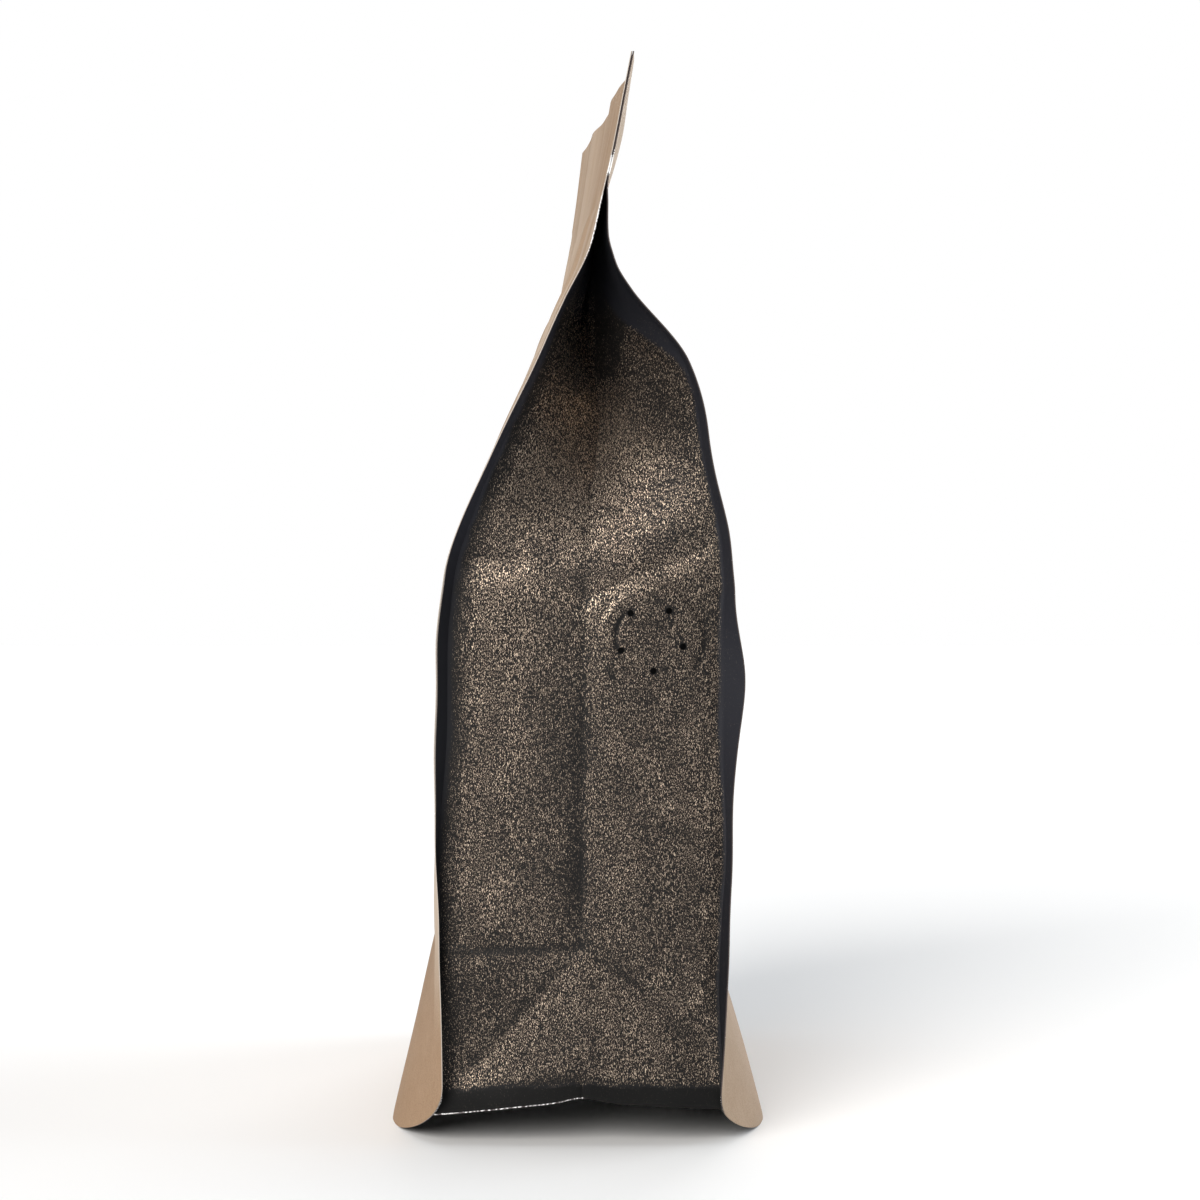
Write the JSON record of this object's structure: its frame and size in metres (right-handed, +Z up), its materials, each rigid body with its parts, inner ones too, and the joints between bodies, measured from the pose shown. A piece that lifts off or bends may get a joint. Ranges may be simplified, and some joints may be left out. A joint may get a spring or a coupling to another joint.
{
  "type": "coffee bag",
  "caption": "Closed side-gusset coffee bag with kraft paper front and back, black gussets with a degassing valve, and a flat sealed top.",
  "frame": {"origin": "middle of the bag's footprint, on the surface that it stands on", "axes": "+Z up, -Y out of the kraft front panel, +X out of the gusset with the degassing valve"},
  "size_m": [0.1372, 0.088, 0.2445],
  "materials": {
    "black_film": "matt black laminate film with a fine warm metallic grain",
    "kraft_front": "uncoated brown kraft paper laminated to foil",
    "kraft_back": "uncoated brown kraft paper laminated to foil",
    "base_film": "plain matt black film",
    "valve_plastic": "moulded natural plastic"
  },
  "bodies": {
    "root": {"gusseted_pouch": "black_film", "front_panel": "kraft_front", "back_panel": "kraft_back", "bottom_panel": "base_film", "degassing_valve": "valve_plastic"}
  },
  "joints": []
}
